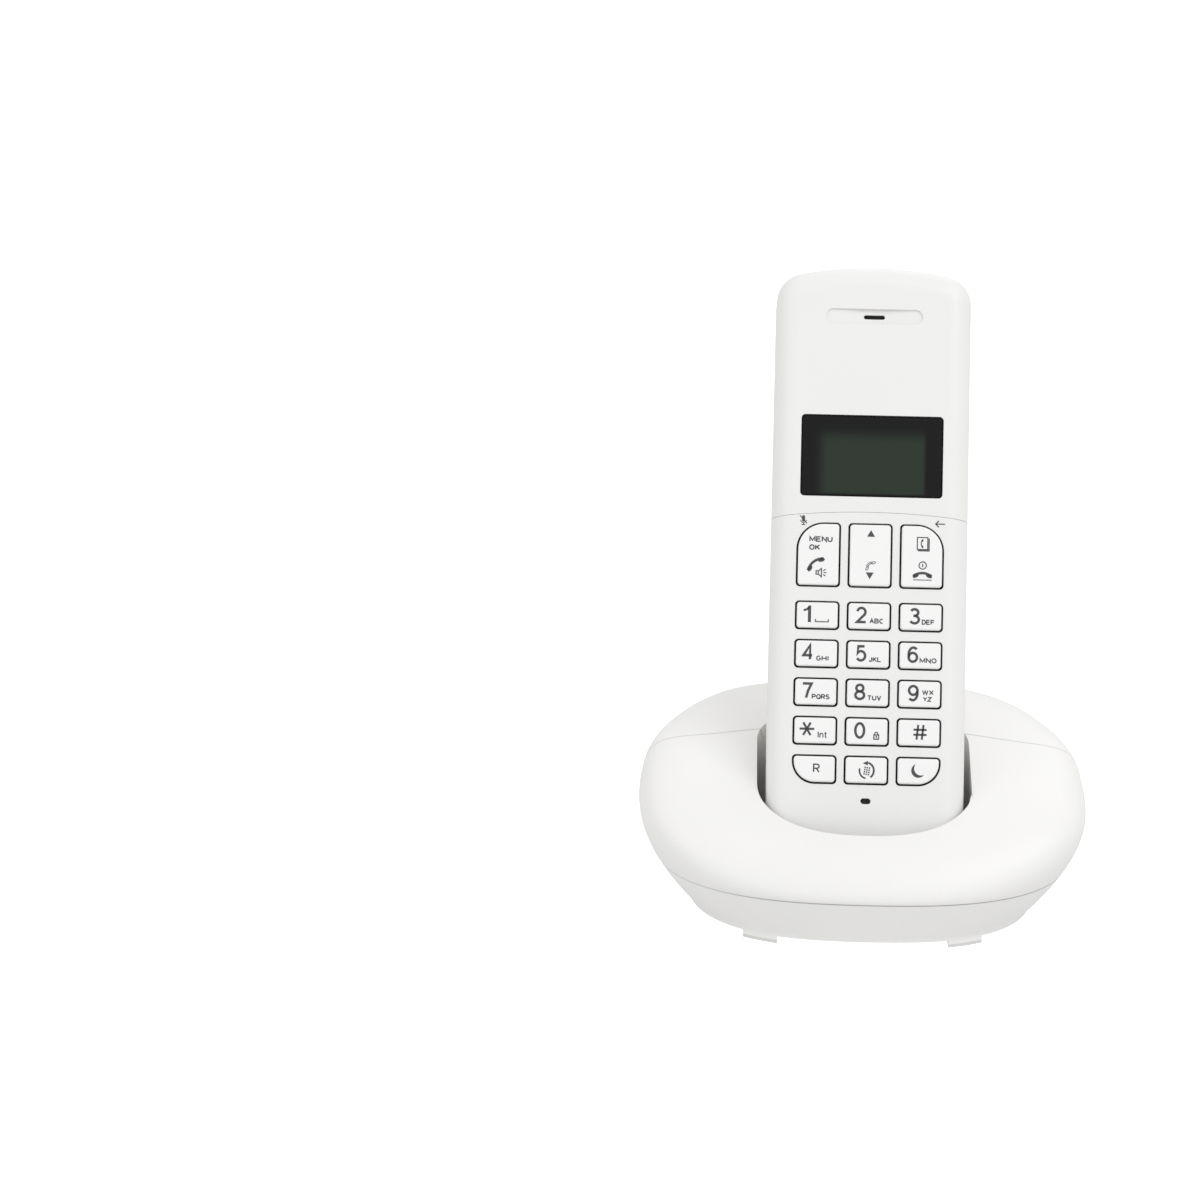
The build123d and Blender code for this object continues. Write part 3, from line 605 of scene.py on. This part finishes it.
def mute_icon(sheet, x, y):
    """Microphone on its stand, struck through."""
    sheet.prism(arc(x, y + 0.72, 0.36, 0, 180, 8) + arc(x, y - 0.1, 0.36, 180, 360, 8))
    sheet.stroke(arc(x, y - 0.02, 0.66, 180, 360, 12), 0.18)
    sheet.stroke([(x, y - 0.66), (x, y - 1.15)], 0.2)
    sheet.stroke([(x - 0.45, y - 1.15), (x + 0.45, y - 1.15)], 0.2)
    sheet.stroke([(x - 0.85, y + 1.05), (x + 0.85, y - 0.85)], 0.2)


def back_arrow(sheet, x, y):
    """Arrow that points left."""
    sheet.stroke([(x - 1.05, y), (x + 1.1, y)], 0.27)
    sheet.stroke([(x - 0.35, y + 0.78), (x - 1.1, y), (x - 0.35, y - 0.78)], 0.27)


def digit_legends():
    """Key, digit and its middle, then the small letters with where they start and their width."""
    return [
        ("key_1", "1", -2.3, None, 0, 0),
        ("key_2", "2", -1.8, "ABC", 0.1, 3.35),
        ("key_3", "3", -1.45, "DEF", 0.2, 3.05),
        ("key_4", "4", -2.05, "GHI", -0.1, 3.0),
        ("key_5", "5", -1.75, "JKL", 0.15, 2.9),
        ("key_6", "6", -1.75, "MNO", -0.15, 4.0),
        ("key_7", "7", -2.05, "PQRS", -0.95, 4.25),
        ("key_8", "8", -1.85, "TUV", -0.1, 3.3),
        ("key_9", "9", -1.5, None, 0, 0),
        ("key_0", "0", -1.7, None, 0, 0),
    ]


def build_legends(materials):
    """Prints every key's legend and the two signs on the cover above the keys, in millimetres."""
    sheets = {}
    digit_base = -1.77
    digit_height = 3.95
    digit_width = 2.65
    digit_weight = 0.6
    small_height = 1.22
    small_weight = 0.26
    for key, digit, middle, letters, left, width in digit_legends():
        sheet = Print()
        if digit == "1":
            one(sheet, middle, digit_base, digit_height)
        else:
            start = middle - digit_width / 2
            sheet.letters(digit, start, digit_base, digit_width, digit_height, digit_weight)
        if letters:
            sheet.letters(letters, left, digit_base, width, small_height, small_weight)
        sheets[key] = sheet
    sheets["key_1"].stroke([(-0.42, -1.0), (-0.42, -1.62), (2.6, -1.62), (2.6, -1.0)], 0.25)
    sheets["key_9"].letters("WX", 0.55, -0.15, 2.75, 1.15, small_weight)
    sheets["key_9"].letters("YZ", 0.8, -1.75, 2.05, 1.15, small_weight)
    padlock(sheets["key_0"], 2.2, -1.0)

    more = {name: Print() for name in ("key_star", "key_hash", "key_flash", "key_redial", "key_night",
                                       "key_menu_talk", "key_nav", "key_book_end")}
    star(more["key_star"], -1.9, 0.3)
    more["key_star"].letters("Int", 0.6, -1.8, 2.3, 1.6, 0.25)
    hash_sign(more["key_hash"], 0.25, 0.1)
    more["key_flash"].letters("R", -0.3, -0.9, 1.6, 2.15, 0.33)
    redial(more["key_redial"], 0.1, 0.0)
    moon(more["key_night"], 0.0, 0.15)

    menu = more["key_menu_talk"]
    menu.letters("MENU", -2.25, 2.9, 5.5, 1.35, 0.3)
    menu.letters("OK", -2.25, 0.95, 2.6, 1.35, 0.3)
    talk_icons(menu)
    nav = more["key_nav"]
    triangle(nav, 0.1, 5.2, 1.85, 1.6)
    triangle(nav, -0.05, -4.9, 1.85, -1.6)
    receiver(nav, 0.05, -2.45, 2.8, 42, 0.17, hollow=True)
    book = more["key_book_end"]
    book_icon(book, 0.15, 3.05)
    power_icon(book, 0.2, -2.15)
    receiver(book, 0.15, -4.7, 4.4, 0, 0.62)
    book.stroke([(-2.0, -5.6), (2.35, -5.6)], 0.2)
    sheets.update(more)

    for key, sheet in sheets.items():
        low, high = handset_box(key)
        matrix = face_place((low.x + high.x) / 2, (low.y + high.y) / 2, high.z)
        sheet.place("legend_" + key, matrix, key, materials["ink"])

    low, high = handset_box("key_nav")
    cover_high = handset_box("handset_keypad_cover")[1]
    side_low, side_high = handset_box("key_menu_talk")
    column = (low.x + high.x - side_low.x - side_high.x) / 2 / MM
    above = Print()
    mute_icon(above, -column - 3.7, 8.2)
    back_arrow(above, column + 4.25, 7.9)
    matrix = face_place((low.x + high.x) / 2, (low.y + high.y) / 2, cover_high.z)
    above.place("legend_cover", matrix, "handset", materials["ink"])


# ================================================================ small pieces
def box_piece(name, low, high, body, material):
    """Plain box between two corners in the row frame."""
    low, high = Vector(low), Vector(high)
    corners = [(x, y, z) for x in (low.x, high.x) for y in (low.y, high.y) for z in (low.z, high.z)]
    faces = [(0, 1, 3, 2), (4, 6, 7, 5), (0, 4, 5, 1), (2, 3, 7, 6), (0, 2, 6, 4), (1, 5, 7, 3)]
    mesh = bpy.data.meshes.new(name)
    mesh.from_pydata(corners, [], faces)
    mesh.materials.append(material)
    piece = bpy.data.objects.new(name, mesh)
    bpy.context.scene.collection.objects.link(piece)
    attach(piece, body)


def build_jack_wires(materials):
    """Sprung gold wires inside the two sockets."""
    pitch = 1.27 * MM
    half_width = 0.22 * MM
    deep_inset = 3.0 * MM
    mouth_inset = 2.6 * MM
    wire_low = 2.6 * MM
    wire_high = 2.2 * MM
    for name in ("line_jack", "power_jack"):
        low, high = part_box(name)
        middle = (low.x + high.x) / 2
        for i in range(4):
            x = middle + (i - 1.5) * pitch
            near = (x - half_width, low.y + deep_inset, high.z - wire_low)
            far = (x + half_width, high.y - mouth_inset, high.z - wire_high)
            box_piece(f"{name}_wire_{i + 1}", near, far, "base", materials["gold"])


# ================================================================ stage
def glow_by_ray(tree, strength, glow):
    """Lights the object with one strength, while the camera sees plain white."""
    ray = tree.nodes.new("ShaderNodeLightPath")
    choice = tree.nodes.new("ShaderNodeMapRange")
    choice.inputs["To Min"].default_value = glow
    choice.inputs["To Max"].default_value = WHITE_SEEN
    tree.links.new(ray.outputs["Is Camera Ray"], choice.inputs["Value"])
    tree.links.new(choice.outputs["Result"], strength)


def build_stage():
    """Pale floor, even light from all around and three soft lamps; sizes in metres, power in watts."""
    side = 4.0
    mesh = bpy.data.meshes.new("floor")
    corners = [(-side, -side, 0), (side, -side, 0), (side, side, 0), (-side, side, 0)]
    mesh.from_pydata(corners, [], [(0, 1, 2, 3)])
    paper = surface("floor_pale", FLOOR_PALE, 0.7, specular=0.2)
    shader = paper.node_tree.nodes["Principled BSDF"]
    socket(shader, "Emission Color", (1.0, 1.0, 1.0, 1.0))
    glow_by_ray(paper.node_tree, shader.inputs["Emission Strength"], FLOOR_GLOW)
    mesh.materials.append(paper)
    floor = bpy.data.objects.new("floor", mesh)
    bpy.context.scene.collection.objects.link(floor)

    world = bpy.data.worlds.new("studio")
    world.use_nodes = True
    world.node_tree.nodes["Background"].inputs["Color"].default_value = (1.0, 1.0, 1.0, 1.0)
    glow_by_ray(world.node_tree, world.node_tree.nodes["Background"].inputs["Strength"], SKY)
    bpy.context.scene.world = world

    def lamp(name, spot, target, size, power):
        data = bpy.data.lights.new(name, "AREA")
        data.shape = "SQUARE"
        data.size = size
        data.energy = power
        thing = bpy.data.objects.new(name, data)
        bpy.context.scene.collection.objects.link(thing)
        thing.location = spot
        thing.rotation_euler = (Vector(target) - Vector(spot)).to_track_quat("-Z", "Y").to_euler()

    target = (0, 0, 0.06)
    lamp("key_light", (0.75, -0.7, 1.3), target, 0.9, 6.5)
    lamp("fill_light", (-1.0, -0.8, 0.9), target, 1.0, 2.4)
    lamp("rear_light", (0.3, 1.2, 1.0), target, 0.9, 2.0)


def build_camera():
    """Camera that sees the object from where the photograph was taken."""
    data = bpy.data.cameras.new("camera")
    data.sensor_width = SENSOR
    data.lens = SENSOR * FOCAL_PIXELS / IMAGE_SIZE
    data.clip_start = NEAR_CLIP
    camera = bpy.data.objects.new("camera", data)
    bpy.context.scene.collection.objects.link(camera)
    base_low, base_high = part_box("base_bottom_shell")
    middle = (base_low.y + base_high.y) / 2
    pivot = Vector((0, middle + AZIMUTH_PIVOT, 0))
    turn = Matrix.Rotation(CAMERA_AZIMUTH, 3, "Z")
    roll = Matrix.Rotation(CAMERA_ROLL, 3, "Z")
    aim = Vector((0, middle, AIM_HEIGHT))
    back = Vector((0, -math.cos(RAY_ELEVATION), math.sin(RAY_ELEVATION)))
    camera.location = pivot + turn @ (aim + back * DISTANCE - pivot)
    look = turn @ Vector((-math.sin(CAMERA_PAN) * math.cos(CAMERA_PITCH),
                          math.cos(CAMERA_PAN) * math.cos(CAMERA_PITCH),
                          -math.sin(CAMERA_PITCH)))
    facing = look.to_track_quat("-Z", "Y").to_matrix()
    camera.rotation_euler = (facing @ roll).to_euler()
    bpy.context.scene.camera = camera


# ================================================================ all together
def main():
    bpy.context.scene.view_settings.view_transform = "Standard"
    materials = make_materials()
    paint_nodes(materials)
    build_legends(materials)
    build_jack_wires(materials)
    build_stage()
    build_camera()


main()
